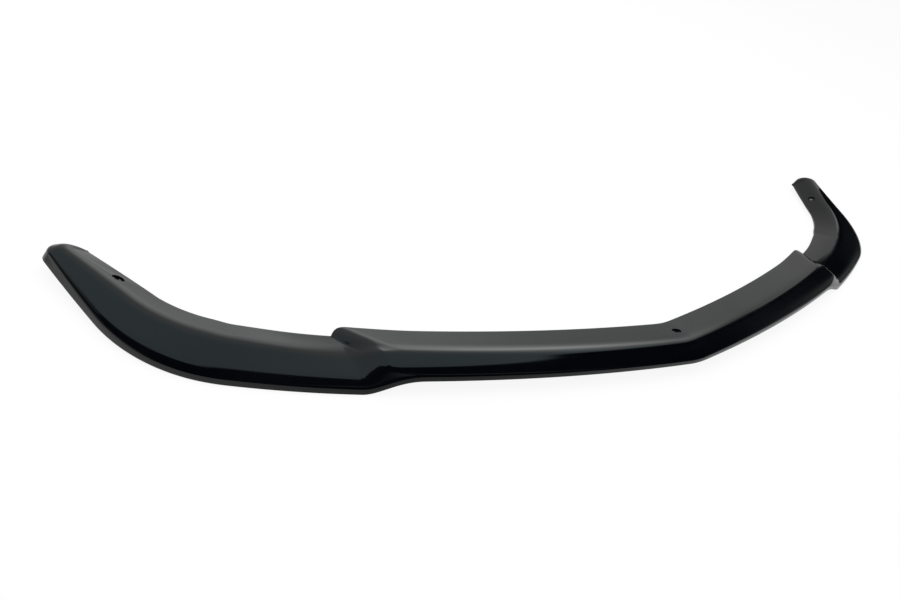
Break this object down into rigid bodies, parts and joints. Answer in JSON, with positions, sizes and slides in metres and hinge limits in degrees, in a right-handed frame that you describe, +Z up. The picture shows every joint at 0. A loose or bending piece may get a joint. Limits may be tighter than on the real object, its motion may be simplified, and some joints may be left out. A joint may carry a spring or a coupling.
{
  "type": "front splitter lip",
  "caption": "Gloss black moulded front splitter lip for a car: a shallow V centre with stepped wings that sweep back to rounded tips, screwed on through its flange.",
  "frame": {"origin": "on the centre plane, halfway between the nose and the tips, level with the lowest edge of the wings", "axes": "+X across the car along the long side, -Y towards the front of the car where the nose points, +Z up"},
  "size_m": [1.6616, 0.4463, 0.0371],
  "materials": {
    "gloss_black": "smooth glossy black moulded skin"
  },
  "bodies": {
    "root": {"splitter_lip": "gloss_black"}
  },
  "joints": []
}
